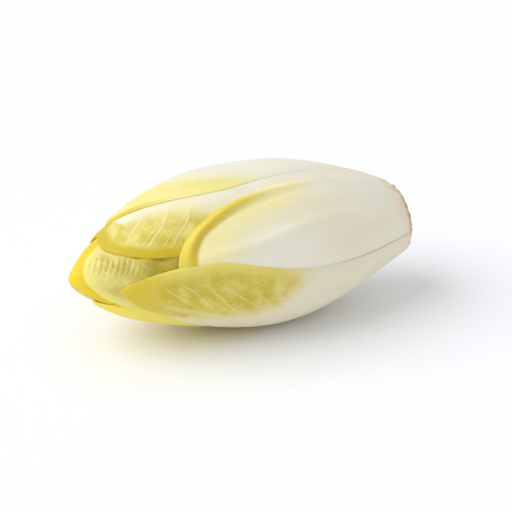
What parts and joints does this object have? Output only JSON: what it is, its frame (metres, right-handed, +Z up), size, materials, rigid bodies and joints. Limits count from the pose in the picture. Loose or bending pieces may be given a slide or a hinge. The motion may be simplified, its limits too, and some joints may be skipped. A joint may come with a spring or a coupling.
{
  "type": "belgian endive",
  "caption": "Slim pointed head of pale leaves wrapped tightly round a short stem, white at the cut base and yellow towards the tips, lying on its side.",
  "frame": {"origin": "centre of the bounding box's underside, on the surface the head lies on", "axes": "+X towards the cut base, -X towards the leaf tips, +Z up, the head's length along X"},
  "size_m": [0.1288, 0.0599, 0.059],
  "materials": {
    "leaf_pale": "satin, smooth waxy outer leaf, white at the base and yellow along its upper edges",
    "leaf_yellow": "satin, inner leaf showing at the nose, yellow with pale raised veins",
    "leaf_heart": "satin, small tender leaf of the heart, white with a yellow tip",
    "stem_flesh": "matt, cut flesh dried to beige with a brown rim"
  },
  "bodies": {
    "root": {"leaf_01_front": "leaf_pale", "leaf_02_back": "leaf_pale", "leaf_03_upper_front": "leaf_pale", "leaf_04_underside": "leaf_pale", "leaf_05_upper_back": "leaf_pale", "leaf_06_top": "leaf_yellow", "leaf_07_inner_front": "leaf_yellow", "leaf_08_inner_back": "leaf_yellow", "leaf_09_inner_underside": "leaf_yellow", "leaf_10_inner_rear": "leaf_yellow", "leaf_11_nose_front": "leaf_yellow", "leaf_12_nose_back": "leaf_yellow", "leaf_13_nose_under": "leaf_yellow", "leaf_14_heart": "leaf_heart", "leaf_15_heart": "leaf_heart", "leaf_16_heart": "leaf_heart", "leaf_17_heart": "leaf_heart", "leaf_18_heart": "leaf_heart", "stem_core": "stem_flesh"}
  },
  "joints": []
}
